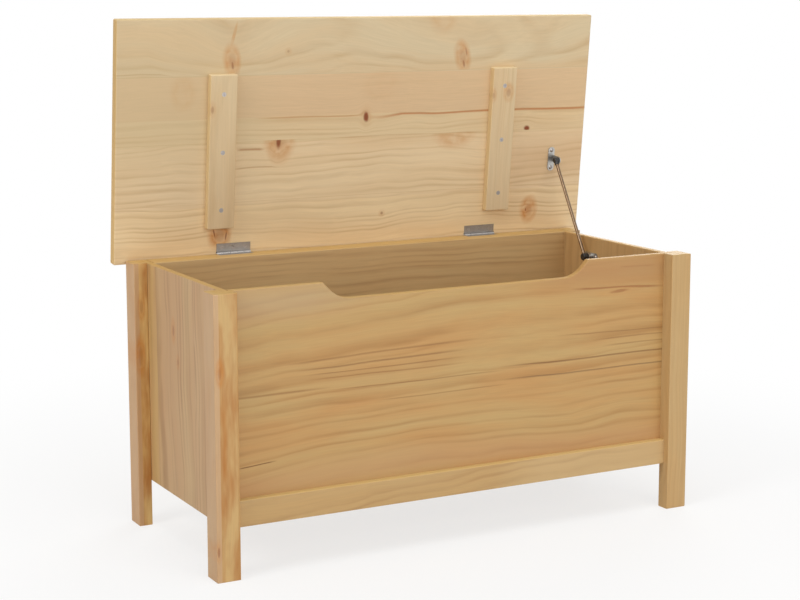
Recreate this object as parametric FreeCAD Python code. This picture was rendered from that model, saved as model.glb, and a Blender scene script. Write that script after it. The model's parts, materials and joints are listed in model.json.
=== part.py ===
import FreeCAD, Part
import math
import os

# A pine storage chest that stands on four corner legs, with a hinged lid held open by a sliding rod stay.
# Millimetres. While it is built, X runs right from the chest's middle, Y runs back from the front legs'
# faces and Z runs up from the floor. The lid and what it carries are built closed and then swung open.

V = FreeCAD.Vector
rightward = V(1, 0, 0)
backward = V(0, 1, 0)
upward = V(0, 0, 1)

# Body
body_length = 900.0
body_depth = 386.0
leg_height = 456.0
leg_side = 40.0
leg_round = 1.5
side_setback = 24.0  # side panels' outer faces, in from the legs' outer faces
front_setback = 25.0  # front panel's face, back from the front legs' faces
panel_thickness = 12.0
panel_lift = 79.0  # panels' lower edges above the floor
panel_round = 2.0

# Hand scoop in the front panel's top edge
scoop_half_width = 252.0
scoop_depth = 28.0
scoop_slope = 46.0  # degrees of the straight upper part of each end
scoop_end_radius = 51.0
scoop_shoulder_round = 4.0

# Rails, cleats and bottom
rail_setback = 12.0
rail_lift = 81.0
rail_height = 43.0
hinge_rail_height = 40.0
cleat_side = 20.0
bottom_thickness = 9.0
bottom_gap = 0.5

# Lid
lid_thickness = 18.0
lid_round = 3.0
lid_gap = 0.6  # between the closed lid and the legs' tops
lid_side_overhang = 20.0
lid_front_overhang = 20.0
lid_rear_overhang = 11.0
lid_open_angle = 84.0
batten_width = 50.0
batten_length = 269.0
batten_thickness = 12.0
batten_round = 2.0
batten_offset = 280.0  # battens' centre lines from the chest's middle
batten_end_gap = 3.0  # from a batten's rear end to the back panel when the lid is closed

# Butt hinges
hinge_offset = 250.0
leaf_length = 64.0
leaf_width = 17.5
leaf_thickness = 1.4
leaf_gap = 0.2
knuckle_radius = 3.2
knuckle_gap = 0.3
knuckle_count = 5
pin_radius = 1.5
pin_proud = 0.8
pin_chamfer = 0.4

# Rod stay at the right-hand end
stay_inset = 14.0  # rod's plane, in from the right side panel
stay_reach = 137.5  # rod's pivot on the lid, forward of the hinge axis
stay_standoff = 18.0  # rod's pivot, off the lid's inner face
guide_drop = 15.0  # degrees below level at which the hinge axis sees the guide
rod_radius = 3.0
rod_tail = 2.0
rod_tail_chamfer = 1.0
rod_seat_wall = 1.0  # between the rod's end and the stud, inside the socket
socket_radius = 5.2
socket_width = 9.0
socket_wall = 2.0
socket_round = 2.0
neck_radius = 4.2
neck_length = 9.0
stud_radius = 2.5
stud_head_radius = 4.0
stud_head = 1.2
plate_length = 45.0
plate_width = 13.6
plate_thickness = 1.6
plate_corner_round = 6.5
plate_screw_spacing = 33.0
ear_radius = 6.5
ear_gap = 0.5
guide_radius = 6.5
guide_width = 11.0
guide_round = 1.2
spigot_radius = 3.0
spigot_gap = 0.5
boss_radius = 6.0
boss_gap = 0.3
guide_clearance = 0.2
stop_radius = 5.0
stop_length = 6.0
stop_gap = 0.4

# Fasteners
fit_clearance = 0.05
screw_radius = 2.0
screw_head_radius = 4.0
screw_rim = 0.4
small_screw_radius = 1.6
small_screw_head_radius = 3.1
domed_head_radius = 4.0
domed_head_height = 2.2
slot_width = 0.9
slot_depth = 1.0
slot_length_share = 0.5  # of the head's width
corner_screw_length = 40.0
leg_screw_length = 30.0
hinge_rail_screw_length = 45.0
rail_screw_length = 22.0
cleat_screw_length = 28.0
bottom_screw_length = 19.0
batten_screw_length = 25.0
batten_screw_pitch = 101.0
hinge_screw_length = 14.0
hinge_screw_pitch = 22.0
plate_screw_length = 11.0
dowel_radius = 3.0
dowel_length = 30.0

# Where fasteners stand along the edge that they hold, as shares of that edge
corner_screw_shares = (0.1, 0.35, 0.65, 0.9)
leg_dowel_shares = (0.22, 0.5, 0.78)
leg_screw_shares = (0.2, 0.5, 0.8)
hinge_rail_screw_shares = (0.3, 0.7)
rail_dowel_shares = (0.25, 0.75)
rail_screw_shares = (0.1, 0.36, 0.64, 0.9)
long_cleat_screw_shares = (0.06, 0.35, 0.65, 0.94)
side_cleat_screw_shares = (0.2, 0.8)
bottom_screw_shares = (0.12, 0.5, 0.88)

overrun = 2.0  # how far cutting shapes reach past what they cut
near = 0.01  # how close two coordinates are to count as the same
full_turn = 360.0

# Places worked out from the sizes
half_length = body_length / 2
panel_outer_x = half_length - side_setback
panel_inner_x = panel_outer_x - panel_thickness
panel_height = leg_height - panel_lift
front_inner_y = front_setback + panel_thickness
back_inner_y = body_depth - leg_side
back_outer_y = back_inner_y + panel_thickness
cleat_top = panel_lift + cleat_side
bottom_top = cleat_top + bottom_thickness
lid_underside = leg_height + lid_gap
axis_y = body_depth + knuckle_radius + knuckle_gap
axis_z = leg_height + lid_gap / 2
hinge_axis = V(0, axis_y, axis_z)
rail_mid_y = (rail_setback + front_setback) / 2
rear_mid_y = (back_outer_y + body_depth) / 2

# The rod's pivot and its guide lie on one circle round the hinge axis,
# so the rod turns half as fast as the lid
stay_x = panel_inner_x - stay_inset
pivot_y = axis_y - stay_reach
pivot_z = lid_underside - stay_standoff
pivot_circle = math.hypot(axis_y - pivot_y, axis_z - pivot_z)
guide_y = axis_y - pivot_circle * math.cos(math.radians(guide_drop))
guide_z = axis_z - pivot_circle * math.sin(math.radians(guide_drop))
guide_point = V(stay_x, guide_y, guide_z)
ear_x = stay_x + socket_width / 2 + ear_gap


def swing_open(shape):
    turned = shape.copy()
    turned.rotate(hinge_axis, rightward, -lid_open_angle)
    return turned


def open_place(point):
    return hinge_axis + FreeCAD.Rotation(rightward, -lid_open_angle).multVec(point - hinge_axis)


def block(x0, x1, y0, y1, z0, z1):
    low = V(min(x0, x1), min(y0, y1), min(z0, z1))
    return Part.makeBox(abs(x1 - x0), abs(y1 - y0), abs(z1 - z0), low)


def rod_between(radius, start, end):
    return Part.makeCylinder(radius, (end - start).Length, start, end - start)


def same(first, second):
    return abs(first - second) < near


def rounded(shape, radius, wanted):
    return shape.makeFillet(radius, [edge for edge in shape.Edges if wanted(edge.BoundBox)])


def upright(box):
    return box.XLength < near and box.YLength < near


def share_between(start, end, shares):
    return [start + (end - start) * share for share in shares]


def lathed(points):
    return Part.Face(Part.makePolygon(points + points[:1])).revolve(V(0, 0, 0), upward, full_turn)


# A screw has its head's seat at the origin and points down. A hole is the same shape, a little larger.
def countersunk_body(radius, head_radius, length, grow):
    wide = head_radius + grow
    slim = radius + grow
    cone_end = -screw_rim - (head_radius - radius)
    return lathed([V(0, 0, 0), V(wide, 0, 0), V(wide, 0, -screw_rim), V(slim, 0, cone_end),
                   V(slim, 0, radius - length), V(0, 0, -length - grow)])


def plain_shank(radius, length, grow):
    slim = radius + grow
    return lathed([V(0, 0, 0), V(slim, 0, 0), V(slim, 0, radius - length), V(0, 0, -length - grow)])


def domed_head(head_radius, height):
    ball_radius = (head_radius ** 2 + height ** 2) / (2 * height)
    ball = Part.makeSphere(ball_radius, V(0, 0, height - ball_radius))
    return ball.common(block(-ball_radius, ball_radius, -ball_radius, ball_radius, 0, height))


def cross_slot(head_radius):
    reach = head_radius * slot_length_share
    one = block(-reach, reach, -slot_width / 2, slot_width / 2, -slot_depth, overrun)
    other = block(-slot_width / 2, slot_width / 2, -reach, reach, -slot_depth, overrun)
    return one.fuse(other)


def driven(shape, seat):
    point, direction = seat
    placed = shape.copy()
    placed.Placement = FreeCAD.Placement(point, FreeCAD.Rotation(-upward, direction))
    return placed


class Screws:
    def __init__(self, screw, hole, seats):
        self.screw = screw
        self.hole = hole
        self.seats = seats

    def solids(self):
        return Part.makeCompound([driven(self.screw, seat) for seat in self.seats])

    def holes(self):
        return Part.makeCompound([driven(self.hole, seat) for seat in self.seats])


class Dowels:
    def __init__(self, seats):
        self.seats = seats

    def pegs(self, radius):
        reach = dowel_length / 2
        return Part.makeCompound([rod_between(radius, point - direction * reach, point + direction * reach)
                                  for point, direction in self.seats])

    def solids(self):
        return self.pegs(dowel_radius)

    def holes(self):
        return self.pegs(dowel_radius + fit_clearance)


def countersunk_screws(radius, head_radius, length, seats):
    screw = countersunk_body(radius, head_radius, length, 0).cut(cross_slot(head_radius))
    return Screws(screw, countersunk_body(radius, head_radius, length, fit_clearance), seats)


def wood_screws(length, seats):
    return countersunk_screws(screw_radius, screw_head_radius, length, seats)


def small_screws(length, seats):
    return countersunk_screws(small_screw_radius, small_screw_head_radius, length, seats)


def domed_screws(length, seats):
    slot = cross_slot(domed_head_radius)
    slot.translate(upward * domed_head_height)
    screw = plain_shank(small_screw_radius, length, 0)
    screw = screw.fuse(domed_head(domed_head_radius, domed_head_height)).cut(slot)
    return Screws(screw, plain_shank(small_screw_radius, length, fit_clearance), seats)


def drilled(shape, *fasteners):
    for fastener in fasteners:
        shape = shape.cut(fastener.holes())
    return shape


# Seats: a point on the face where each head lies, or the middle of each dowel, and the way that it points
sides = (-1, 1)
corner_heights = share_between(panel_lift, leg_height, corner_screw_shares)

front_panel_screws = wood_screws(corner_screw_length, [
    (V(side * panel_outer_x, front_setback + panel_thickness / 2, z), V(-side, 0, 0))
    for side in sides for z in corner_heights])
back_panel_screws = wood_screws(corner_screw_length, [
    (V(side * panel_outer_x, back_inner_y + panel_thickness / 2, z), V(-side, 0, 0))
    for side in sides for z in corner_heights])
back_leg_screws = wood_screws(leg_screw_length, [
    (V(side * panel_inner_x, rear_mid_y, z), V(side, 0, 0))
    for side in sides for z in share_between(panel_lift, leg_height - hinge_rail_height, leg_screw_shares)])
hinge_rail_screws = wood_screws(hinge_rail_screw_length, [
    (V(side * panel_outer_x, rear_mid_y, z), V(-side, 0, 0))
    for side in sides
    for z in share_between(leg_height - hinge_rail_height, leg_height, hinge_rail_screw_shares)])
front_rail_screws = wood_screws(rail_screw_length, [
    (V(x, front_inner_y, rail_lift + rail_height / 2), -backward)
    for x in share_between(-panel_inner_x, panel_inner_x, rail_screw_shares)])
front_leg_dowels = Dowels([
    (V(side * (panel_inner_x + panel_thickness / 2), front_setback, z), backward)
    for side in sides for z in share_between(panel_lift, leg_height, leg_dowel_shares)])
front_rail_dowels = Dowels([
    (V(side * (half_length - leg_side), rail_mid_y, z), rightward)
    for side in sides for z in share_between(rail_lift, rail_lift + rail_height, rail_dowel_shares)])

cleat_mid_z = panel_lift + cleat_side / 2
front_cleat_y = front_inner_y + cleat_side
back_cleat_y = back_inner_y - cleat_side
side_cleat_x = panel_inner_x - cleat_side
cleat_screws = wood_screws(cleat_screw_length, [
    (V(x, y, cleat_mid_z), way)
    for y, way in ((front_cleat_y, -backward), (back_cleat_y, backward))
    for x in share_between(-panel_inner_x, panel_inner_x, long_cleat_screw_shares)] + [
    (V(side * side_cleat_x, y, cleat_mid_z), V(side, 0, 0))
    for side in sides for y in share_between(front_cleat_y, back_cleat_y, side_cleat_screw_shares)])
bottom_screws = wood_screws(bottom_screw_length, [
    (V(x, y, bottom_top), -upward)
    for y in (front_cleat_y - cleat_side / 2, back_cleat_y + cleat_side / 2)
    for x in share_between(-panel_inner_x, panel_inner_x, bottom_screw_shares)])

leaf_mid_y = axis_y - (leaf_width + knuckle_radius) / 2
hinge_screw_steps = (-hinge_screw_pitch, 0, hinge_screw_pitch)
hinge_box_screws = small_screws(hinge_screw_length, [
    (V(side * hinge_offset + step, leaf_mid_y, leg_height), -upward)
    for side in sides for step in hinge_screw_steps])
hinge_lid_screws = small_screws(hinge_screw_length, [
    (V(side * hinge_offset + step, leaf_mid_y, lid_underside), upward)
    for side in sides for step in hinge_screw_steps])

batten_back_y = back_inner_y - batten_end_gap
batten_mid_y = batten_back_y - batten_length / 2
batten_screws = wood_screws(batten_screw_length, [
    (V(side * batten_offset, batten_mid_y + step, lid_underside - batten_thickness), upward)
    for side in sides for step in (-batten_screw_pitch, 0, batten_screw_pitch)])

plate_x = ear_x + plate_thickness - plate_width / 2
plate_screw_steps = (-plate_screw_spacing / 2, plate_screw_spacing / 2)
stay_lid_screws = domed_screws(plate_screw_length, [
    (V(plate_x, pivot_y + step, lid_underside - plate_thickness), upward) for step in plate_screw_steps])
stay_side_screws = domed_screws(plate_screw_length, [
    (V(panel_inner_x - plate_thickness, guide_y + step, guide_z), rightward) for step in plate_screw_steps])


# Legs: the front pair are square posts whose inner rear corner is rebated to take the panels' corner
def front_leg(side):
    outer = side * half_length
    inner = side * (half_length - leg_side)
    rebate = side * panel_outer_x
    outline = [V(outer, 0, 0), V(inner, 0, 0), V(inner, front_setback, 0), V(rebate, front_setback, 0),
               V(rebate, leg_side, 0), V(outer, leg_side, 0)]
    post = Part.Face(Part.makePolygon(outline + outline[:1])).extrude(V(0, 0, leg_height))

    def eased(box):
        on_front = same(box.YMax, 0)
        on_outside = same(box.XMin, outer) and same(box.XMax, outer)
        behind = same(box.YMin, leg_side) and same(box.XMin, rebate) and upright(box)
        return on_front or on_outside or behind

    return drilled(rounded(post, leg_round, eased), front_leg_dowels, front_rail_dowels)


def back_leg(side):
    post = block(side * half_length, side * panel_outer_x, back_inner_y, body_depth, 0, leg_height)
    outer = side * half_length

    def eased(box):
        return upright(box) or (same(box.XMin, outer) and same(box.XMax, outer))

    return drilled(rounded(post, leg_round, eased), back_leg_screws)


# Panels
def scoop_cutter():
    slope = math.radians(scoop_slope)
    drop = scoop_depth - scoop_end_radius * (1 - math.cos(slope))
    top = leg_height + overrun
    mouth = scoop_half_width + overrun / math.tan(slope)
    bend_x = scoop_half_width - drop / math.tan(slope)
    flat_x = bend_x - scoop_end_radius * math.sin(slope)
    centre_z = leg_height - scoop_depth + scoop_end_radius
    middle_x = flat_x + scoop_end_radius * math.sin(slope / 2)
    middle_z = centre_z - scoop_end_radius * math.cos(slope / 2)
    y = front_setback - overrun

    def right(x, z):
        return V(x, y, z)

    def left(x, z):
        return V(-x, y, z)

    def end_edges(place):
        ramp = Part.LineSegment(place(mouth, top), place(bend_x, leg_height - drop))
        bend = Part.Arc(place(bend_x, leg_height - drop), place(middle_x, middle_z),
                        place(flat_x, leg_height - scoop_depth))
        return [ramp.toShape(), bend.toShape()]

    floor_z = leg_height - scoop_depth
    floor = Part.LineSegment(left(flat_x, floor_z), right(flat_x, floor_z))
    mouth_line = Part.LineSegment(left(mouth, top), right(mouth, top))
    edges = end_edges(left) + [floor.toShape()] + end_edges(right) + [mouth_line.toShape()]
    outline = Part.Wire(Part.__sortEdges__(edges))
    return Part.Face(outline).extrude(V(0, panel_thickness + 2 * overrun, 0))


def front_panel():
    board = block(-panel_inner_x, panel_inner_x, front_setback, front_inner_y, panel_lift, leg_height)
    board = board.cut(scoop_cutter())

    def shoulders(box):
        between_ends = abs(box.XMax) < panel_inner_x - near
        return same(box.ZMin, leg_height) and box.XLength < near and between_ends

    def top_edges(box):
        return box.YLength < near and box.ZMin > leg_height - scoop_depth - near

    board = rounded(board, scoop_shoulder_round, shoulders)
    board = rounded(board, panel_round, top_edges)
    return drilled(board, front_panel_screws, front_rail_screws, cleat_screws)


def back_panel():
    board = block(-panel_inner_x, panel_inner_x, back_inner_y, back_outer_y, panel_lift, leg_height)

    def top_front(box):
        return same(box.ZMin, leg_height) and same(box.YMax, back_inner_y)

    return drilled(rounded(board, panel_round, top_front), back_panel_screws, cleat_screws)


def side_panel(side):
    board = block(side * panel_inner_x, side * panel_outer_x, front_setback, body_depth,
                  panel_lift, leg_height)

    def long_top(box):
        return same(box.ZMin, leg_height) and box.XLength < near

    board = rounded(board, panel_round, long_top)
    board = drilled(board, front_panel_screws, back_panel_screws, back_leg_screws, hinge_rail_screws)
    board = drilled(board, front_leg_dowels, cleat_screws)
    return drilled(board, stay_side_screws) if side > 0 else board


def bottom_panel():
    board = block(bottom_gap - panel_inner_x, panel_inner_x - bottom_gap,
                  front_inner_y + bottom_gap, back_inner_y - bottom_gap, cleat_top, bottom_top)
    return drilled(board, bottom_screws)


# Rails and cleats
def front_rail():
    end = half_length - leg_side
    board = block(-end, end, rail_setback, front_setback, rail_lift, rail_lift + rail_height)

    def long_front(box):
        return same(box.YMax, rail_setback) and box.ZLength < near

    return drilled(rounded(board, panel_round, long_front), front_rail_dowels, front_rail_screws)


def leaf_space(side, z0, z1):
    reach = leaf_length / 2 + leaf_gap
    middle = side * hinge_offset
    return block(middle - reach, middle + reach, axis_y - leaf_width - leaf_gap, axis_y, z0, z1)


def hinge_rail():
    board = block(-panel_inner_x, panel_inner_x, back_outer_y, body_depth,
                  leg_height - hinge_rail_height, leg_height)
    for side in sides:
        board = board.cut(leaf_space(side, leg_height - leaf_thickness, leg_height + overrun))
    return drilled(board, hinge_rail_screws, hinge_box_screws)


def long_cleat(y0, y1):
    cleat = block(-panel_inner_x, panel_inner_x, y0, y1, panel_lift, cleat_top)
    return drilled(cleat, cleat_screws, bottom_screws)


def side_cleat(side):
    cleat = block(side * side_cleat_x, side * panel_inner_x, front_cleat_y, back_cleat_y,
                  panel_lift, cleat_top)
    return drilled(cleat, cleat_screws)


# Lid
def lid_panel():
    reach = half_length + lid_side_overhang
    board = block(-reach, reach, -lid_front_overhang, body_depth + lid_rear_overhang,
                  lid_underside, lid_underside + lid_thickness)
    board = board.makeFillet(lid_round, board.Edges)
    for side in sides:
        middle = side * hinge_offset
        groove_reach = leaf_length / 2 + pin_proud + leaf_gap
        groove = rod_between(knuckle_radius + knuckle_gap, V(middle - groove_reach, axis_y, axis_z),
                             V(middle + groove_reach, axis_y, axis_z))
        board = board.cut(leaf_space(side, lid_underside - overrun, lid_underside + leaf_thickness))
        board = board.cut(groove)
    return drilled(board, hinge_lid_screws, batten_screws, stay_lid_screws)


def batten(side):
    middle = side * batten_offset
    face = lid_underside - batten_thickness
    strip = block(middle - batten_width / 2, middle + batten_width / 2,
                  batten_back_y - batten_length, batten_back_y, face, lid_underside)

    def exposed(box):
        return box.ZMin < lid_underside - near

    return drilled(rounded(strip, batten_round, exposed), batten_screws)


# Hinges: leaves of rolled sheet whose knuckles interlock on a pin
def knuckle_spans(side):
    pitch = leaf_length / knuckle_count
    start = side * hinge_offset - leaf_length / 2
    return [(start + pitch * index, start + pitch * (index + 1)) for index in range(knuckle_count)]


def hinge_leaf(side, z0, z1, own, screws):
    middle = side * hinge_offset
    leaf = block(middle - leaf_length / 2, middle + leaf_length / 2, axis_y - leaf_width, axis_y, z0, z1)
    for index, (x0, x1) in enumerate(knuckle_spans(side)):
        if index % 2 == own:
            leaf = leaf.fuse(rod_between(knuckle_radius, V(x0, axis_y, axis_z), V(x1, axis_y, axis_z)))
    for index, (x0, x1) in enumerate(knuckle_spans(side)):
        if index % 2 != own:
            relief = rod_between(knuckle_radius + leaf_gap, V(x0 - leaf_gap, axis_y, axis_z),
                                 V(x1 + leaf_gap, axis_y, axis_z))
            leaf = leaf.cut(relief)
    bore = rod_between(pin_radius + fit_clearance, V(middle - leaf_length, axis_y, axis_z),
                       V(middle + leaf_length, axis_y, axis_z))
    return drilled(leaf.cut(bore).removeSplitter(), screws)


def hinge_pin(side):
    middle = side * hinge_offset
    reach = leaf_length / 2 + pin_proud
    pin = rod_between(pin_radius, V(middle - reach, axis_y, axis_z), V(middle + reach, axis_y, axis_z))
    return pin.makeChamfer(pin_chamfer, [edge for edge in pin.Edges if edge.BoundBox.XLength < near])


# Rod stay
pivot_rest = open_place(V(stay_x, pivot_y, pivot_z))
rod_way = (guide_point - pivot_rest).normalize()
rod_reach = (guide_point - pivot_rest).Length
stop_start = rod_reach + guide_radius + stop_gap
rod_start = stud_radius + fit_clearance + rod_seat_wall
rod_end = stop_start + stop_length + rod_tail


def along_rod(distance):
    return pivot_rest + rod_way * distance


def stay_lid_bracket():
    face = lid_underside - plate_thickness
    right = ear_x + plate_thickness
    plate = block(right - plate_width, right, pivot_y - plate_length / 2, pivot_y + plate_length / 2,
                  face, lid_underside)
    plate = rounded(plate, plate_corner_round, upright)
    ear = block(ear_x, right, pivot_y - ear_radius, pivot_y + ear_radius, pivot_z, lid_underside)
    ear = ear.fuse(rod_between(ear_radius, V(ear_x, pivot_y, pivot_z), V(right, pivot_y, pivot_z)))
    hole = rod_between(stud_radius + fit_clearance, V(ear_x - overrun, pivot_y, pivot_z),
                       V(right + overrun, pivot_y, pivot_z))
    return drilled(plate.fuse(ear).cut(hole).removeSplitter(), stay_lid_screws)


def stay_lid_stud():
    right = ear_x + plate_thickness
    tip = stay_x - socket_width / 2 + socket_wall
    shank = rod_between(stud_radius, V(tip, pivot_y, pivot_z), V(right, pivot_y, pivot_z))
    head = rod_between(stud_head_radius, V(right, pivot_y, pivot_z), V(right + stud_head, pivot_y, pivot_z))
    return shank.fuse(head)


def stay_rod_socket():
    left = pivot_rest - rightward * (socket_width / 2)
    right = pivot_rest + rightward * (socket_width / 2)
    cap = rod_between(socket_radius, left, right)
    cap = cap.makeFillet(socket_round, [edge for edge in cap.Edges if same(edge.BoundBox.XMax, left.x)])
    cap = cap.fuse(rod_between(neck_radius, pivot_rest, along_rod(neck_length)))
    blind = left + rightward * (socket_wall - fit_clearance)
    cap = cap.cut(rod_between(stud_radius + fit_clearance, blind, right + rightward * overrun))
    seat = rod_between(rod_radius + fit_clearance, along_rod(rod_start), along_rod(neck_length + overrun))
    return cap.cut(seat)


def stay_rod():
    rod = rod_between(rod_radius, along_rod(rod_start), along_rod(rod_end))
    tail = along_rod(rod_end)
    return rod.makeChamfer(rod_tail_chamfer, [edge for edge in rod.Edges
                                          if edge.CenterOfMass.distanceToPoint(tail) < near])


def stay_rod_stop():
    collar = rod_between(stop_radius, along_rod(stop_start), along_rod(stop_start + stop_length))
    bore = rod_between(rod_radius + fit_clearance, along_rod(stop_start - overrun),
                       along_rod(rod_end + overrun))
    return collar.cut(bore)


def stay_guide():
    left = guide_point - rightward * (guide_width / 2)
    right = guide_point + rightward * (guide_width / 2)
    tip = V(panel_inner_x - spigot_gap, guide_y, guide_z)
    barrel = rod_between(guide_radius, left, right)
    barrel = barrel.makeFillet(guide_round, [edge for edge in barrel.Edges if edge.BoundBox.XLength < near])
    barrel = barrel.fuse(rod_between(spigot_radius, guide_point, tip))
    reach = rod_way * (guide_radius + overrun)
    return barrel.cut(rod_between(rod_radius + guide_clearance, guide_point - reach, guide_point + reach))


def stay_side_bracket():
    face = panel_inner_x - plate_thickness
    plate = block(face, panel_inner_x, guide_y - plate_length / 2, guide_y + plate_length / 2,
                  guide_z - plate_width / 2, guide_z + plate_width / 2)
    plate = rounded(plate, plate_corner_round, lambda box: box.YLength < near and box.ZLength < near)
    boss_start = V(stay_x + guide_width / 2 + boss_gap, guide_y, guide_z)
    wall = V(panel_inner_x, guide_y, guide_z)
    plate = plate.fuse(rod_between(boss_radius, boss_start, wall))
    bore = rod_between(spigot_radius + fit_clearance, boss_start - rightward * overrun,
                       wall + rightward * overrun)
    return drilled(plate.cut(bore).removeSplitter(), stay_side_screws)


box_leaf_low = leg_height - leaf_thickness
lid_leaf_high = lid_underside + leaf_thickness

# The body stands still, the lid's pieces are swung open, and the stay's pieces are already where they rest
body_nodes = {
    "leg_front_left": front_leg(-1),
    "leg_front_right": front_leg(1),
    "leg_back_left": back_leg(-1),
    "leg_back_right": back_leg(1),
    "front_panel": front_panel(),
    "back_panel": back_panel(),
    "side_panel_left": side_panel(-1),
    "side_panel_right": side_panel(1),
    "bottom_panel": bottom_panel(),
    "front_rail": front_rail(),
    "hinge_rail": hinge_rail(),
    "cleat_front": long_cleat(front_inner_y, front_cleat_y),
    "cleat_back": long_cleat(back_cleat_y, back_inner_y),
    "cleat_left": side_cleat(-1),
    "cleat_right": side_cleat(1),
    "front_leg_dowels": front_leg_dowels.solids(),
    "front_rail_dowels": front_rail_dowels.solids(),
    "front_panel_screws": front_panel_screws.solids(),
    "back_panel_screws": back_panel_screws.solids(),
    "back_leg_screws": back_leg_screws.solids(),
    "hinge_rail_screws": hinge_rail_screws.solids(),
    "front_rail_screws": front_rail_screws.solids(),
    "cleat_screws": cleat_screws.solids(),
    "bottom_screws": bottom_screws.solids(),
    "hinge_box_leaf_left": hinge_leaf(-1, box_leaf_low, leg_height, 0, hinge_box_screws),
    "hinge_box_leaf_right": hinge_leaf(1, box_leaf_low, leg_height, 0, hinge_box_screws),
    "hinge_pin_left": hinge_pin(-1),
    "hinge_pin_right": hinge_pin(1),
    "hinge_box_screws": hinge_box_screws.solids(),
    "stay_side_bracket": stay_side_bracket(),
    "stay_side_screws": stay_side_screws.solids(),
}
lid_nodes = {
    "lid_panel": lid_panel(),
    "batten_left": batten(-1),
    "batten_right": batten(1),
    "batten_screws": batten_screws.solids(),
    "hinge_lid_leaf_left": hinge_leaf(-1, lid_underside, lid_leaf_high, 1, hinge_lid_screws),
    "hinge_lid_leaf_right": hinge_leaf(1, lid_underside, lid_leaf_high, 1, hinge_lid_screws),
    "hinge_lid_screws": hinge_lid_screws.solids(),
    "stay_lid_bracket": stay_lid_bracket(),
    "stay_lid_stud": stay_lid_stud(),
    "stay_lid_screws": stay_lid_screws.solids(),
}
stay_nodes = {
    "stay_rod": stay_rod(),
    "stay_rod_socket": stay_rod_socket(),
    "stay_rod_stop": stay_rod_stop(),
    "stay_guide": stay_guide(),
}

# The origin is on the floor under the middle of the part as it stands with its lid open
rear_corner = open_place(V(0, body_depth + lid_rear_overhang - lid_round,
                           lid_underside + lid_thickness - lid_round))
middle_depth = (rear_corner.y + lid_round) / 2
to_origin = V(0, -middle_depth, 0)

nodes = dict(body_nodes)
nodes.update({name: swing_open(shape) for name, shape in lid_nodes.items()})
nodes.update(stay_nodes)

os.makedirs("parts", exist_ok=True)
for name, shape in nodes.items():
    shape.translate(to_origin)
    shape.exportStep("parts/" + name + ".step")

for label, point in (("hinge axis", hinge_axis), ("rod pivot", pivot_rest), ("guide", guide_point)):
    print(label, [round(value, 3) for value in point + to_origin])
print("inside, half length", panel_inner_x, "front", front_inner_y - middle_depth,
      "back", back_inner_y - middle_depth, "floor", bottom_top)
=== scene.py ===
import json
import math
import bpy
from mathutils import Euler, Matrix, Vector

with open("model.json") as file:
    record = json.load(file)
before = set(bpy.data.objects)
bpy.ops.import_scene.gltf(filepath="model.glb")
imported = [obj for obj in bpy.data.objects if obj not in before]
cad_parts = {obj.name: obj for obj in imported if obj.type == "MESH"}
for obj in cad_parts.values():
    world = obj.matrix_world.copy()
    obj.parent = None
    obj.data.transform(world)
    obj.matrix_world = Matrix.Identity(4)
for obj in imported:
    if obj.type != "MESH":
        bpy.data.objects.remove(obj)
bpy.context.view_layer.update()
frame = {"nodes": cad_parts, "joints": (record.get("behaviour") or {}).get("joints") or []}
nodes = frame["nodes"]
print("frame loaded:", len(nodes), "pieces")

mm = 0.001
lidHinge = next(joint for joint in frame["joints"] if joint["name"] == "lid_hinge")
lidAngle = lidHinge["range_deg"][1]  # the lid rests open, and its travel closes it


def linear(hexColour, alpha=1.0):  # sRGB hex to the linear colour that nodes take, by the standard curve
    channels = [int(hexColour[i:i + 2], 16) / 255 for i in (1, 3, 5)]
    return [c / 12.92 if c <= 0.04045 else ((c + 0.055) / 1.055) ** 2.4 for c in channels] + [alpha]


def grey(level):
    return (level, level, level, 1)


white, black = grey(1), grey(0)


def ranged(*limits):
    return dict(enumerate(limits, 1))  # Map Range sockets: from low, from high, to low, to high


def perMetre(*sizes):
    return [1 / (size * mm) for size in sizes]  # scale of a pattern whose parts are so many mm


def add(tree, kind, links=None, out=0, stops=None, **settings):
    node = tree.nodes.new("ShaderNode" + kind)
    for name, value in settings.items():
        setattr(node, name, value)
    if stops:
        elements = node.color_ramp.elements
        while len(elements) < len(stops):
            elements.new(1.0)
        for element, (place, colour) in zip(elements, stops):
            element.position, element.color = place, colour
    for socket, value in (links or {}).items():
        if isinstance(value, bpy.types.NodeSocket):
            tree.links.new(value, node.inputs[socket])
        else:
            node.inputs[socket].default_value = value
    return node.outputs[out] if node.outputs else node


def layered(tree, colour, coats):
    for strength, tint in coats:  # each coat, in socket 7, lies over the ones before it, in socket 6
        colour = add(tree, "Mix", {0: strength, 6: colour, 7: linear(tint)}, 2, data_type="RGBA")
    return colour


def newMaterial(name):
    material = bpy.data.materials.new(name)
    material.use_nodes = True
    material.node_tree.nodes.clear()
    return material, material.node_tree


def dress(material, *names):
    for name in names:
        for slot in nodes[name].material_slots:
            slot.material = material


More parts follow.
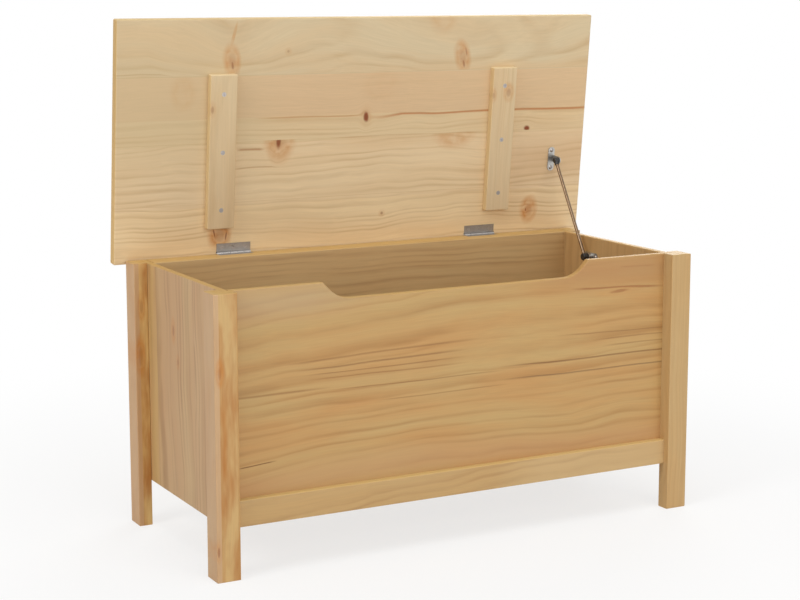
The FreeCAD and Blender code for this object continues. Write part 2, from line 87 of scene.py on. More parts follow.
# Lacquered pine: pale early wood with a soft brown line at the end of each year, warmer and cooler patches,
# faint fibres and a satin sheen. Each board is a slice of a round log, so its faces, edges and ends agree,
# and its lines run on, waver or arch as the log does. Knots are red-brown, edges and end grain yellower.
pineDefaults = {
    "turn": (0, 0, 0),       # degrees that lay the grain along the pattern's X, across it Y, into the board Z
    "centre": (0, 0, 0),     # point that becomes the pattern's origin, in metres
    "boards": ((-1000, "#CDAC78", 0.4, True),),  # start across in mm, colour, lines' strength, glued
    "warm": "#C79E68",       # colour of the broad warm patches
    "warmth": 0.5,
    "patch": (330, 50, 0.66),  # mm along and across a warm patch, and the noise level that is fully warm
    "line": "#96683A",       # colour of the soft yearly line
    "edge": "#CDA75F",       # narrow long edges, or None
    "end": "#BE9150",        # end grain
    "ringWidth": 12.0,       # mm between years in the log
    "pith": (300, -200),     # mm from the pattern's origin to the log's heart, across and into the board
    "taper": 0.03,           # how fast the heart leaves the board
    "waver": 7.0,            # mm that the lines stray
    "seed": 0.0,
    "swells": (),            # along, across, half length, half width in mm, and the lift of the lines there
    "knots": (),             # along, across, half length, half width in mm, tilt, darkness, rim,
                             # and the side of a glue line that it is cut off at
    "streaks": (),           # across, from, to, half width in mm, colour, strength
}
# Figure and finish that all the pine shares. A range of four runs between the first two values
# of what it is measured on, and gives the last two there.
pineFigure = {
    "lastBoard": 2000,                   # mm that the last board may reach
    "glueHalf": 0.4, "glueStrength": 0.25,  # half width in mm of a glue line
    "boardShift": (2.4, 0.05, 0.03),     # metres that the log moves from board to board
    "roughSize": 18, "roughDetail": 3.0,  # mm, unevenness in and round a knot
    "flecks": (0.36, 0.62, 0.5, 1.2),    # how it breaks up the rim
    "ragged": 1.2,                       # how far it frays the outline
    "push": (0.4, 5.0), "pushShare": 0.9,  # reach of the pushed lines, in the knot's own sizes
    "heart": (1.1, 1.9),                 # where the dark heart ends, in the same sizes
    "rimReach": 4.0,
    "rimStops": ((0.25, 0.7), (0.45, 0.7), (0.56, 0.9), (0.84, 0.0)),  # share of that reach, strength
    "rimColour": "#C67F33", "heartColour": "#863F14",
    "wanderSize": (222.2, 250, 250), "wanderGain": 4,  # mm, the log's slow bends
    "wanderNoise": {"Scale": 1.0, "Detail": 2.5, "Roughness": 0.45},
    "unevenNoise": {"Scale": 0.5, "Detail": 1.0}, "uneven": 2.0,  # wide years and narrow ones
    "lineStops": ((0.0, black), (0.4, black), (0.8, white), (1.0, black)),  # through one year
    "showSize": (250, 41.67, 41.67), "show": (0.36, 0.66, 0.15, 1.1),  # mm over which a line comes and goes
    "showNoise": {"Scale": 1.0, "Detail": 3.0, "Roughness": 0.6},
    "fibreSize": (111.1, 2.381, 2.381),  # mm, coarser than real fibres, which would be too fine to show
    "fibreNoise": {"Scale": 1.0, "Detail": 3.0, "Roughness": 0.6}, "fibreShade": (0.3, 0.7, 0.955, 1.04),
    "warmNoise": {"Scale": 1.0, "Detail": 3.0, "Roughness": 0.55}, "warmSoft": 0.3,
    "warmOnLines": 5.0,                  # a board with hardly any lines has hardly any patches
    "streakSway": (0, 0.45, 0),          # share of the log's bends that a streak follows
    "streakStops": ((0.0, black), (0.15, white), (0.8, white), (1.0, black)),  # along a streak
    "edgeTurn": (0.5, 0.95, 0.0, 0.6), "endTurn": (0.5, 0.95, 0.0, 0.7),  # how squarely a face is an edge
    "lineRelief": 0.6, "bump": 0.1, "depth": 0.15,  # depth in mm
    "gloss": (0.3, 0.7, 0.48, 0.6),
    "lacquer": {"IOR": 1.48, "Specular IOR Level": 0.35, "Coat Weight": 0.05, "Coat Roughness": 0.3},
}
centred = (-0.5, -0.5, -0.5)  # brings a noise colour's mean to zero


# Which board a point is in: its colour, the strength of its lines, its glue lines and its place in the log
def boardTones(tree, spec, across):
    boards = spec["boards"]
    low, high = boards[0][0], boards[-1][0] + pineFigure["lastBoard"]
    share = add(tree, "MapRange", {0: across, 1: low * mm, 2: high * mm})
    stops = [((start - low) / (high - low), linear(tint, lines)) for start, tint, lines, *rest in boards]
    tone = add(tree, "ValToRGB", {0: share}, stops=stops)
    tone.node.color_ramp.interpolation = "CONSTANT"
    cell, glue = spec["seed"], None
    glueHalf = pineFigure["glueHalf"] * mm
    for seamPlace in [start * mm for start, *rest, glued in boards[1:] if glued]:
        beyond = add(tree, "Math", {0: across, 1: seamPlace}, operation="GREATER_THAN")
        cell = add(tree, "Math", {0: cell, 1: beyond}, operation="ADD")
        seam = add(tree, "Math", {0: across, 1: seamPlace, 2: glueHalf}, operation="COMPARE")
        glue = add(tree, "Math", {0: glue or 0.0, 1: seam}, operation="MAXIMUM")
    luck = add(tree, "TexWhiteNoise", {"W": cell}, out="Color", noise_dimensions="1D")
    luck = add(tree, "VectorMath", {0: luck, 1: centred}, operation="ADD")
    offset = add(tree, "VectorMath", {0: luck, 1: pineFigure["boardShift"]}, operation="MULTIPLY")
    return tone, tone.node.outputs["Alpha"], glue, offset


# A point's place in an oval's own sizes, and how far out it is, where 1 is the oval's outline
def inOval(tree, base, along, across, halfLength, halfWidth, tilt=0):
    oval = {0: base, 1: (along * mm, across * mm, 0), 2: (0, 0, math.radians(tilt)),
            3: (halfLength * mm, halfWidth * mm, 1)}
    local = add(tree, "Mapping", oval, vector_type="TEXTURE")
    local = add(tree, "VectorMath", {0: local, 1: (1, 1, 0)}, operation="MULTIPLY")
    return local, add(tree, "VectorMath", {0: local}, "Value", operation="LENGTH")


# Swells lift the lines, so that they arch
def swellGrain(tree, spec, base):
    grain = base
    for *oval, lift in spec["swells"]:
        away = inOval(tree, base, *oval)[1]
        rise = add(tree, "MapRange", {0: away, **ranged(0.0, 1.0, -lift * mm, 0.0)})
        rise = add(tree, "CombineXYZ", {1: rise})
        grain = add(tree, "VectorMath", {0: grain, 1: rise}, operation="ADD")
    return grain


# Knots push the lines aside, and have a dark heart and an amber rim
def knotGrain(tree, spec, base, across, grain):
    figure = pineFigure
    core = rim = None
    if not spec["knots"]:
        return grain, core, rim
    rough = add(tree, "TexNoise", {
        "Vector": base, "Scale": 1 / (figure["roughSize"] * mm), "Detail": figure["roughDetail"]})
    flecks = add(tree, "MapRange", {0: rough, **ranged(*figure["flecks"])})
    for *oval, dark, ringed, cut in spec["knots"]:
        local, away = inOval(tree, base, *oval)
        halfWidth = oval[3]
        away = add(tree, "Math", {0: rough, 1: figure["ragged"], 2: away}, operation="MULTIPLY_ADD")
        near = add(tree, "MapRange", {0: away, **ranged(*figure["push"], figure["pushShare"] * dark, 0.0)},
                   interpolation_type="SMOOTHERSTEP")
        heart = add(tree, "MapRange", {0: away, **ranged(*figure["heart"], dark, 0.0)},
                    interpolation_type="SMOOTHSTEP")
        halo = add(tree, "MapRange", {0: away, 1: 0.0, 2: figure["rimReach"]})
        stops = [(share, grey(level * ringed)) for share, level in figure["rimStops"]]
        halo = add(tree, "ValToRGB", {0: halo}, stops=stops)
        halo = add(tree, "Math", {0: halo, 1: flecks}, operation="MULTIPLY")
        if cut:
            comparison, seam = cut
            side = add(tree, "Math", {0: across, 1: seam * mm}, operation=comparison)
            near, heart, halo = [add(tree, "Math", {0: mask, 1: side}, operation="MULTIPLY")
                                 for mask in (near, heart, halo)]
        push = add(tree, "VectorMath", {0: local, 1: (0, -halfWidth * mm, 0)}, operation="MULTIPLY")
        push = add(tree, "VectorMath", {0: push, "Scale": near}, operation="SCALE")
        grain = add(tree, "VectorMath", {0: grain, 1: push}, operation="ADD")
        core = add(tree, "Math", {0: core or 0.0, 1: heart}, operation="MAXIMUM")
        rim = add(tree, "Math", {0: rim or 0.0, 1: halo}, operation="MAXIMUM")
    return grain, core, rim


# The log's heart wanders, so its rings cut the face in long wavering lines
def yearLines(tree, spec, grain, along):
    figure = pineFigure
    slow = add(tree, "VectorMath", {0: grain, 1: perMetre(*figure["wanderSize"])}, operation="MULTIPLY")
    wander = add(tree, "TexNoise", {"Vector": slow, **figure["wanderNoise"]}, "Color")
    wander = add(tree, "VectorMath", {0: wander, 1: centred}, operation="ADD")
    stray = spec["waver"] * mm * figure["wanderGain"]
    wander = add(tree, "VectorMath", {0: wander, 1: (0, stray, stray)}, operation="MULTIPLY")
    bent = add(tree, "VectorMath", {0: grain, 1: wander}, operation="ADD")
    heartAxis = (0, *[-reach * mm for reach in spec["pith"]])
    fromHeart = add(tree, "VectorMath", {0: bent, 1: (0, 1, 1), 2: heartAxis}, operation="MULTIPLY_ADD")
    lean = add(tree, "VectorMath", {0: (0, 0, spec["taper"]), "Scale": along}, operation="SCALE")
    fromHeart = add(tree, "VectorMath", {0: fromHeart, 1: lean}, operation="ADD")
    radius = add(tree, "VectorMath", {0: fromHeart}, "Value", operation="LENGTH")
    years = add(tree, "Math", {0: radius, 1: 1 / (spec["ringWidth"] * mm)}, operation="MULTIPLY")
    uneven = add(tree, "TexNoise", {"W": years, **figure["unevenNoise"]}, noise_dimensions="1D")
    years = add(tree, "Math", {0: uneven, 1: figure["uneven"], 2: years}, operation="MULTIPLY_ADD")
    season = add(tree, "Math", {0: years}, operation="FRACT")
    return add(tree, "ValToRGB", {0: season}, stops=figure["lineStops"]), bent, wander


# Thin dark lines, resin and broad tints, each over one stretch of the board
def streakCoats(tree, spec, place, wander, along):
    if not spec["streaks"]:
        return []
    follow = pineFigure["streakSway"]
    sway = add(tree, "VectorMath", {0: wander, 1: follow, 2: place}, operation="MULTIPLY_ADD")
    sway = add(tree, "SeparateXYZ", {0: sway}, 1)
    coats = []
    for middle, start, end, half, tint, strength in spec["streaks"]:
        off = add(tree, "Math", {0: sway, 1: -middle * mm}, operation="ADD")
        off = add(tree, "Math", {0: off}, operation="ABSOLUTE")
        streak = add(tree, "MapRange", {0: off, **ranged(0.0, half * mm, strength, 0.0)},
                     interpolation_type="SMOOTHSTEP")
        stretch = add(tree, "MapRange", {0: along, 1: start * mm, 2: end * mm})
        stretch = add(tree, "ValToRGB", {0: stretch}, stops=pineFigure["streakStops"])
        streak = add(tree, "Math", {0: streak, 1: stretch}, operation="MULTIPLY")
        coats.append((streak, tint))
    return coats


# Edges and ends, by the way that they face; the rail's paler edges and the battens' paler ends are partly a
# painted highlight
def edgeCoats(tree, spec, normal, turn):
    facing = add(tree, "Mapping", {0: normal, 2: turn}, vector_type="NORMAL")
    facing = add(tree, "VectorMath", {0: facing}, operation="ABSOLUTE")
    endward = add(tree, "SeparateXYZ", {0: facing})
    edgeward = endward.node.outputs[1]
    coats = []
    if spec["edge"]:
        edge = add(tree, "MapRange", {0: edgeward, **ranged(*pineFigure["edgeTurn"])})
        coats.append((edge, spec["edge"]))
    end = add(tree, "MapRange", {0: endward, **ranged(*pineFigure["endTurn"])})
    return coats + [(end, spec["end"])]


def pine(name, changes):
    figure = pineFigure
    spec = dict(pineDefaults, **changes)
    material, tree = newMaterial(name)
    turn = Euler([math.radians(angle) for angle in spec["turn"]])
    origin = -(turn.to_matrix() @ Vector(spec["centre"]))
    place = add(tree, "TexCoord", out="Object")
    base = add(tree, "Mapping", {0: place, 1: origin, 2: turn})
    along = add(tree, "SeparateXYZ", {0: base})
    across = along.node.outputs[1]

    tone, lines, glue, offset = boardTones(tree, spec, across)
    grain = swellGrain(tree, spec, base)
    grain, core, rim = knotGrain(tree, spec, base, across, grain)
    logPlace = add(tree, "VectorMath", {0: grain, 1: offset}, operation="ADD")
    line, bent, wander = yearLines(tree, spec, logPlace, along)

    # a line comes and goes along its length
    showing = add(tree, "VectorMath", {0: logPlace, 1: perMetre(*figure["showSize"])}, operation="MULTIPLY")
    showing = add(tree, "TexNoise", {"Vector": showing, **figure["showNoise"]})
    showing = add(tree, "MapRange", {0: showing, **ranged(*figure["show"])})
    showing = add(tree, "Math", {0: showing, 1: lines}, operation="MULTIPLY")
    line = add(tree, "Math", {0: line, 1: showing}, operation="MULTIPLY", use_clamp=True)

    # fibres drawn out along the grain, and broad warm patches
    fibre = add(tree, "VectorMath", {0: bent, 1: perMetre(*figure["fibreSize"])}, operation="MULTIPLY")
    fibre = add(tree, "TexNoise", {"Vector": fibre, **figure["fibreNoise"]})
    patchLength, patchWidth, full = spec["patch"]
    patchScale = perMetre(patchLength, patchWidth, patchWidth)
    warm = add(tree, "VectorMath", {0: bent, 1: patchScale}, operation="MULTIPLY")
    warm = add(tree, "TexNoise", {"Vector": warm, **figure["warmNoise"]})
    warmRange = ranged(full - figure["warmSoft"], full, 0.0, spec["warmth"])
    warm = add(tree, "MapRange", {0: warm, **warmRange})
    lively = add(tree, "Math", {0: lines, 1: figure["warmOnLines"]}, operation="MULTIPLY", use_clamp=True)
    warm = add(tree, "Math", {0: warm, 1: lively}, operation="MULTIPLY")

    colour = layered(tree, tone, [(warm, spec["warm"]), (line, spec["line"])])
    shade = add(tree, "MapRange", {0: fibre, **ranged(*figure["fibreShade"])})
    colour = add(tree, "VectorMath", {0: colour, "Scale": shade}, operation="SCALE")
    coats = streakCoats(tree, spec, grain, wander, along)
    if core:
        coats += [(rim, figure["rimColour"]), (core, figure["heartColour"])]
    if glue:
        seam = add(tree, "Math", {0: glue, 1: figure["glueStrength"]}, operation="MULTIPLY")
        coats.append((seam, spec["line"]))
    coats += edgeCoats(tree, spec, place.node.outputs["Normal"], turn)
    colour = layered(tree, colour, coats)

    relief = add(tree, "Math", {0: line, 1: figure["lineRelief"], 2: fibre}, operation="MULTIPLY_ADD")
    bump = add(tree, "Bump", {
        "Strength": figure["bump"], "Distance": figure["depth"] * mm, "Height": relief})
    gloss = add(tree, "MapRange", {0: fibre, **ranged(*figure["gloss"])})
    skin = {"Base Color": colour, "Roughness": gloss, "Normal": bump, **figure["lacquer"]}
    add(tree, "OutputMaterial", {"Surface": add(tree, "BsdfPrincipled", skin)})
    return material


# Lid: boards glued edge to edge, the second plain and pink above its resin line.
# The pattern is laid out on the closed lid, measured from the hinge axis.
lidPine = {
    "turn": (lidAngle, 0, 0), "centre": lidHinge["pos_m"], "seed": 3.0,
    "ringWidth": 13.0, "pith": (-375, -80), "waver": 10.0,
    # the boards are partly their own tones and partly painted light: those nearer the hinge are painted paler
    # against the shade of the open chest below them
    "boards": ((-420, "#D7C29C", 0.4, True), (-312, "#DABA90", 0.06, True), (-238, "#DFC69B", 0.4, False),
               (-196, "#E7CCA3", 0.46, True), (-90, "#EED3A6", 0.46, True)),
    "warm": "#DAB788", "line": "#B48B57", "edge": "#DFC07C", "end": "#CDA050",
    "swells": ((190, -358, 280, 66, 42), (-264, -352, 150, 66, 42), (30, -222, 50, 26, 7),
               (20, -150, 220, 60, -10), (-330, -110, 160, 60, 9)),
    "knots": (
        (0, -233, 5, 9, 0, 0.95, 0.1, None),  # small red one on the resin line
        (-170, -193, 5, 12, 0, 0.9, 0.0, ("GREATER_THAN", -197)),  # half knots, cut off at a glue line
        (-168, -197, 12, 17, 0, 0.12, 0.6, ("GREATER_THAN", -197)),
        (184, -195, 18, 12, 0, 0.0, 0.4, ("GREATER_THAN", -196)),
        (342, -198, 6, 5, 0, 1.0, 0.0, ("LESS_THAN", -195)),
        (193, -337, 7, 13, -13, 0.15, 0.6, ("LESS_THAN", -312)),  # at the top right when the lid is open
        (200, -345, 1.6, 9, -13, 0.4, 0.3, ("LESS_THAN", -312)),
        (196, -324, 2.4, 7, -13, 0.5, 0.0, ("LESS_THAN", -312)),
        (-262, -338, 7, 12, -8, 0.15, 0.55, ("LESS_THAN", -312)),  # at the top left, with a thin tail
        (-260, -380, 1.2, 10, 14, 0.0, 0.5, None),
        (-261, -330, 2.2, 7, -8, 0.55, 0.0, ("LESS_THAN", -312)),
        (148, -412, 12, 15, 0, 0.0, 0.22, None),  # faint ones
        (28, -288, 16, 12, 0, 0.0, 0.08, None),
        (-350, -284, 10, 13, 0, 0.0, 0.14, None),
        (357, -42, 8, 11, 0, 0.2, 0.75, None),  # amber, at the lower right
        (351, -41, 2, 4, 0, 0.7, 0.0, None),
        (-277, -32, 9, 11, 0, 0.25, 0.8, None),  # below the left batten
        (-287, -36, 1.4, 8, -14, 0.75, 0.0, None),
        (-265, -31, 1.4, 8, 8, 0.7, 0.0, None),
        (41, -53, 3, 3, 0, 0.5, 0.2, None),  # pin knots
        (-157, -352, 3, 3, 0, 0.3, 0.15, None),
    ),
    "streaks": (
        (-235, -220, 20, 2.4, "#B97B42", 0.6),  # resin line, left and right of its knot
        (-234, -10, 560, 3.4, "#B66C31", 0.8),
        (-195, -80, 260, 1.5, "#B98556", 0.45),
        (-181, -250, -195, 3.6, "#A5652E", 0.85),
        (-149, -255, -165, 2.0, "#A5652E", 0.6),
        (-316, -520, -360, 1.8, "#A97A45", 0.5),
        (-150, 250, 1000, 75, "#CFA87B", 0.5),  # broad tints: warm right end, pale middle, dull left end; the pale middle is painted light
        # painted light: a pale patch over the lid's lower middle, against the shade of the open chest below
        # it
        (-100, -330, 330, 140, "#FBE6B6", 0.24),
        (-250, -900, -150, 220, "#C9B389", 0.5),
    ),
}
battenPine = {
    "turn": (lidAngle, 0, -90), "centre": lidHinge["pos_m"], "seed": 11.0, "ringWidth": 9.0, "waver": 4.0,
    "boards": ((-1000, "#DBC299", 0.25, True),), "warm": "#D9B98C", "line": "#BE9862",
    # the pale end colour is partly end grain and partly a painted highlight for the lit top ends, given to
    # both ends
    "edge": "#DCC08A", "end": "#F2DEB2",
    "knots": ((-270, -289, 8, 5, 0, 0.3, 0.4, None), (-265, -257, 6, 3, 0, 0.25, 0.3, None),
              (-256, 301, 6, 3, 0, 0.35, 0.3, None)),
}
# Front: olive and orange in turn, lines that rise to the middle, and a few thin dark ones
frontPine = {
    "turn": (-90, 0, 0), "seed": 5.0, "ringWidth": 14.0, "pith": (600, -200), "waver": 5.0,
    "boards": ((0, "#C09E67", 0.4, True),), "warm": "#C19158", "warmth": 0.85, "line": "#95622C",
    "swells": ((30, 385, 430, 85, 20), (-90, 165, 330, 85, 24), (330, 190, 110, 34, 12)),
    "knots": ((318, 397, 22, 3, 4, 0.45, 0.1, None),),
    "streaks": (
        (330, -320, 40, 2.3, "#7B5026", 0.45),  # thin dark lines
        (318, -300, 20, 2.2, "#6E4520", 0.5),
        (309, -290, 10, 1.5, "#7B5026", 0.5),
        (301, -290, 20, 1.9, "#8A5A2C", 0.5),
        (285, -520, -240, 3.0, "#8E6234", 0.6),
        (280, -240, 90, 1.6, "#7B5026", 0.5),
        (255, -160, 100, 1.6, "#7B5026", 0.45),
        (286, 75, 520, 2.4, "#6A4420", 0.62),
        (264, 75, 520, 2.2, "#5E4A30", 0.55),
        (172, -405, -335, 1.6, "#6A4018", 0.85),
        (325, 180, 520, 1.5, "#7B5026", 0.4),
        (315, 260, 520, 2.0, "#6E4520", 0.38),
        (303, 280, 520, 2.0, "#6E4520", 0.38),
        (397, 215, 420, 3.4, "#8A4E22", 0.7),  # red-brown, beside the scoop
        (437, 315, 395, 2.4, "#9A6234", 0.5),
        (432, 120, 700, 52, "#AE7F52", 0.6),  # broad tints: top right, top left and foot
        (432, -900, -120, 50, "#BA9F79", 0.6),
        (130, -700, 700, 45, "#BF9064", 0.45),
    ),
}
railPine = {
    "turn": (-90, 0, 0), "seed": 8.0, "ringWidth": 10.0, "boards": ((0, "#C2A06D", 0.35, True),),
    # the pale edge colour is partly edge grain and partly a painted highlight along the lit top edge; the
    # pale streak is painted light over the right part, where less light falls
    "warm": "#BF9760", "edge": "#E3C680", "streaks": ((100, 60, 700, 80, "#D6BA8C", 0.3),),
}
sidePine = {
    "turn": (0, 90, 0), "seed": 9.0, "ringWidth": 11.0, "waver": 8.0, "pith": (300, -60),
    "boards": ((-300, "#C9A67A", 0.45, True), (-62, "#C8A678", 0.52, True), (102, "#CEAB70", 0.42, True)),
    "warm": "#C0946A", "line": "#93683F", "warmth": 0.6, "edge": None, "end": "#C9A35C",
    "knots": ((359, 27, 10, 4, 0, 0.4, 0.4, None), (310, 9, 6, 3, 0, 0.3, 0.3, None)),
}
farSide = dict(
    sidePine, seed=10.0, warm="#C39A62", knots=(),
    boards=((-300, "#CBA976", 0.3, True), (10, "#C9A672", 0.3, True)))
# Legs: the left ones are pink on their outer face, and orange flames run through their fronts
legPine = {
    "turn": (90, 0, 90), "seed": 14.0, "ringWidth": 9.0, "waver": 6.0, "pith": (20, -50),
    "boards": ((-1000, "#C2A271", 0.25, True),), "warm": "#C39A63", "warmth": 0.5, "line": "#A8763E",
    "edge": None, "end": "#CDAA68",
}
frontLeg = dict(
    legPine, seed=31.0, warm="#A8621C", warmth=0.85, patch=(120, 26, 0.7),
    boards=((-1000, "#C9A57C", 0.04, True), (-448.6, "#CBA76F", 0.2, False)),
    knots=((334, -441, 10, 3, 0, 0.25, 0.6, None), (51, -447, 8, 2, 0, 0.5, 0.3, None)),
    streaks=((-436, 150, 300, 7.0, "#B5722C", 0.5), (-412, -100, 600, 5.0, "#B07A3C", 0.45)))
backLeg = dict(
    legPine, seed=33.0, warm="#AE6722", warmth=0.9, patch=(110, 24, 0.66),
    # the front face is painted paler than the front leg's, partly its own tone and partly painted light
    # against the shade that falls on the back leg
    boards=((-1000, "#CBA479", 0.04, True), (-448.6, "#DDB877", 0.2, False)),
    knots=((382, -438, 12, 3, 0, 0.3, 0.6, None), (300, -441, 16, 4, 0, 0.2, 0.7, None)))
# Inside and back: plainer boards
innerPine = {
    "turn": (-90, 0, 0), "seed": 17.0,
    "boards": ((0, "#CFAF7B", 0.4, True), (190, "#CBAA76", 0.4, True), (310, "#CDAD79", 0.4, True)),
}
bottomPine = dict(
    innerPine, turn=(0, 0, 0), seed=21.0,
    boards=((-300, "#CBAB78", 0.4, True), (20, "#C9A774", 0.4, True)))
cleatPine = dict(innerPine, turn=(0, 0, -90), seed=23.0, boards=((-1000, "#CBAB78", 0.4, True),))
# Turned beech pegs: pinker than the pine, with narrow years
pegBeech = dict(innerPine, seed=27.0, ringWidth=3.0, boards=((-1000, "#CBA57B", 0.3, True),))

timber = (
    ("lacqueredPineLid", lidPine, ("lid_panel",)),
    ("lacqueredPineBatten", battenPine, ("batten_left", "batten_right")),
    ("lacqueredPineFront", frontPine, ("front_panel",)),
    ("lacqueredPineRail", railPine, ("front_rail",)),
    ("lacqueredPineSide", sidePine, ("side_panel_left",)),
    ("lacqueredPineFarSide", farSide, ("side_panel_right",)),
    ("lacqueredPineFrontLeg", frontLeg, ("leg_front_left",)),
    ("lacqueredPineBackLeg", backLeg, ("leg_back_left",)),
    ("lacqueredPineFarLeg", legPine, ("leg_front_right", "leg_back_right")),
    ("lacqueredPineBack", innerPine, ("back_panel", "hinge_rail", "cleat_front", "cleat_back")),
    ("lacqueredPineBottom", bottomPine, ("bottom_panel",)),
    ("lacqueredPineCleat", cleatPine, ("cleat_left", "cleat_right")),
    ("beechPeg", pegBeech, ("front_leg_dowels", "front_rail_dowels")),
)
for name, spec, pieces in timber:
    dress(pine(name, spec), *pieces)
print("wood dressed")

# Zinc-plated steel, and a rod whose dark brown is a painted reflection: a faint cloudy bloom, fine rolling
# marks and a soft, broad highlight
steelFigure = {
    "cloudSize": 6, "cloudDetail": 4.0,     # mm
    "markSize": (8.333, 0.4545, 0.4545),    # mm, coarser than real marks, which would be too fine to show
    "markNoise": {"Scale": 1.0, "Detail": 2.0},
    "markRange": (0.3, 0.7), "roughSpread": 0.08, "depth": 0.03,  # depth in mm
}
steels = {  # colour, dull colour, roughness, strength of the rolling marks, pieces
    "zincScrewSteel": ("#B7B1AD", "#9A9490", 0.42, 0.2, [name for name in nodes if name.endswith("_screws")]),
    "zincHingeSteel": ("#ABA7A3", "#8F8B87", 0.42, 0.3, ("hinge_box_leaf_left", "hinge_box_leaf_right",
                                                         "hinge_lid_leaf_left", "hinge_lid_leaf_right")),
    "brightPinSteel": ("#D6D4D1", "#BDBAB7", 0.28, 0.15, ("hinge_pin_left", "hinge_pin_right")),
    "zincBracketSteel": ("#BFBDB8", "#A8A6A1", 0.36, 0.2, ("stay_side_bracket", "stay_lid_bracket",
                                                           "stay_lid_stud")),
    # the rod's dark brown is a painted reflection of dark wood and shade round it, which a bright rod would
    # mirror
    "rodSteelPaintedReflection": ("#88715A", "#6F5B48", 0.28, 0.1, ("stay_rod", "stay_rod_stop")),
}


def steel(name, bright, dull, roughness, marking):
    figure = steelFigure
    material, tree = newMaterial(name)
    place = add(tree, "TexCoord", out="Object")
    cloud = add(tree, "TexNoise", {
        "Vector": place, "Scale": 1 / (figure["cloudSize"] * mm), "Detail": figure["cloudDetail"]})
    colour = layered(tree, linear(bright), [(cloud, dull)])
    marks = add(tree, "VectorMath", {0: place, 1: perMetre(*figure["markSize"])}, operation="MULTIPLY")
    marks = add(tree, "TexNoise", {"Vector": marks, **figure["markNoise"]})
    spread = figure["roughSpread"]
    roughRange = ranged(*figure["markRange"], roughness - spread, roughness + spread)
    rough = add(tree, "MapRange", {0: marks, **roughRange})
    bump = add(tree, "Bump", {"Strength": marking, "Distance": figure["depth"] * mm, "Height": marks})
    skin = {"Base Color": colour, "Metallic": 1.0, "Roughness": rough, "Normal": bump}
    add(tree, "OutputMaterial", {"Surface": add(tree, "BsdfPrincipled", skin)})
    return material


for name, (*finish, pieces) in steels.items():
    dress(steel(name, *finish), *pieces)

# Moulded nylon: near black, with the fine satin skin that its mould leaves
nylon = {
    "colour": "#141312", "pale": "#2A2725",
    "skinSize": 0.5, "skinDetail": 2.0,     # mm, coarser than the real skin, which would be too fine to show
    "rough": (0.3, 0.7, 0.4, 0.55), "bump": 0.2, "depth": 0.04, "IOR": 1.53,  # depth in mm
}
blackNylon, tree = newMaterial("blackNylon")
place = add(tree, "TexCoord", out="Object")
skin = add(tree, "TexNoise", {
    "Vector": place, "Scale": 1 / (nylon["skinSize"] * mm), "Detail": nylon["skinDetail"]})
colour = layered(tree, linear(nylon["colour"]), [(skin, nylon["pale"])])
rough = add(tree, "MapRange", {0: skin, **ranged(*nylon["rough"])})
bump = add(tree, "Bump", {"Strength": nylon["bump"], "Distance": nylon["depth"] * mm, "Height": skin})
surface = {"Base Color": colour, "Roughness": rough, "Normal": bump, "IOR": nylon["IOR"]}
add(tree, "OutputMaterial", {"Surface": add(tree, "BsdfPrincipled", surface)})
dress(blackNylon, "stay_rod_socket", "stay_guide")
print("hardware dressed")

# Studio: a pale floor that runs out into white, soft light all round and four broad lamps
studio = {
    "floorSize": 16.0, "floorColour": "#FAFAF9",  # sizes and places in metres
    "floorGlow": 0.72,                      # share of the backdrop's white in the floor round the object
    "fadeFrom": 0.4, "fadeTo": 1.5,         # distances between which that share rises to 1
    "backdrop": 1.0, "sky": 0.385,          # brightness that is seen, and that lights the object
    "aim": (0, 0, 0.45),
    "lamps": (  # place, size, watts
        ("frontLamp", (0.5, -3.8, 1.2), 3.0, 60.0), ("sideLamp", (-4.8, -1.3, 3.8), 2.2, 98.0),
        ("topLamp", (-0.4, -0.9, 4.4), 2.0, 37.0), ("backLamp", (3.2, 3.4, 2.4), 3.0, 80.0)),
}


def seenRays(tree):  # rays that show the backdrop, straight or in a shiny or clear surface
    seen = add(tree, "LightPath", out="Is Camera Ray")
    rays = seen.node.outputs
    for kind in ("Is Glossy Ray", "Is Transmission Ray"):
        seen = add(tree, "Math", {0: seen, 1: rays[kind]}, operation="MAXIMUM")
    return seen


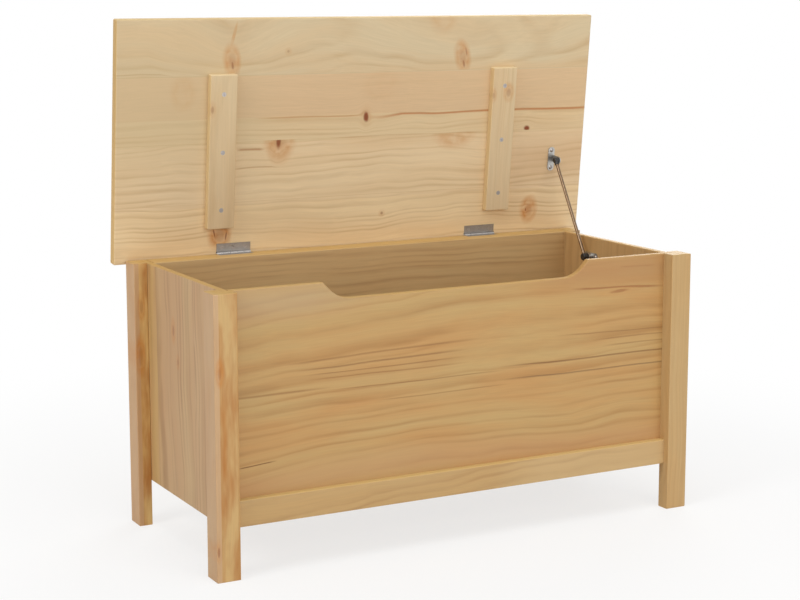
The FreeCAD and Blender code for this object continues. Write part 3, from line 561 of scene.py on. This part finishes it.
bpy.ops.object.select_all(action="DESELECT")
bpy.ops.mesh.primitive_plane_add(size=studio["floorSize"], location=(0, 0, 0))
floor = bpy.context.object
floor.name = "studioFloor"
paper, tree = newMaterial("mattStudioPaper")  # matt white, seamless where it leaves the object
place = add(tree, "TexCoord", out="Object")
distance = add(tree, "VectorMath", {0: place}, "Value", operation="LENGTH")
fadeRange = ranged(studio["fadeFrom"], studio["fadeTo"], studio["floorGlow"], 1.0)
fade = add(tree, "MapRange", {0: distance, **fadeRange}, interpolation_type="SMOOTHSTEP")
fade = add(tree, "Math", {0: fade, 1: seenRays(tree)}, operation="MULTIPLY")
matt = add(tree, "BsdfDiffuse", {"Color": linear(studio["floorColour"])})
glow = add(tree, "Emission", {"Color": white, "Strength": studio["backdrop"]})
add(tree, "OutputMaterial", {"Surface": add(tree, "MixShader", {0: fade, 1: matt, 2: glow})})
floor.data.materials.append(paper)

world = bpy.data.worlds.new("studioWorld")
bpy.context.scene.world = world
world.use_nodes = True
tree = world.node_tree
tree.nodes.clear()
light = add(tree, "Background", {"Color": white, "Strength": studio["sky"]})
backdrop = add(tree, "Background", {"Color": white, "Strength": studio["backdrop"]})
add(tree, "OutputWorld", {"Surface": add(tree, "MixShader", {0: seenRays(tree), 1: light, 2: backdrop})})

for name, place, size, watts in studio["lamps"]:
    bpy.ops.object.light_add(type="AREA", location=place)
    lamp = bpy.context.object
    lamp.name = name
    lamp.data.energy, lamp.data.size = watts, size
    lamp.rotation_euler = (Vector(studio["aim"]) - Vector(place)).to_track_quat("-Z", "Y").to_euler()

# Camera, fitted to the corners of the legs and the lid
view = {
    "place": (-1.4916, -2.7329, 0.924),
    "turn": 0.4945,            # radians to the right of straight back
    "dip": 8.912,              # degrees below level
    "lens": 81.94, "sensor": 36.0, "shift": -0.04,
}
bpy.ops.object.camera_add(location=view["place"])
camera = bpy.context.object
camera.name = "photoCamera"
camera.rotation_euler = (math.radians(90 - view["dip"]), 0, -view["turn"])
camera.data.lens, camera.data.sensor_width = view["lens"], view["sensor"]
camera.data.shift_y = view["shift"]
bpy.context.scene.camera = camera
bpy.context.scene.view_settings.view_transform = "Standard"
print("studio ready")
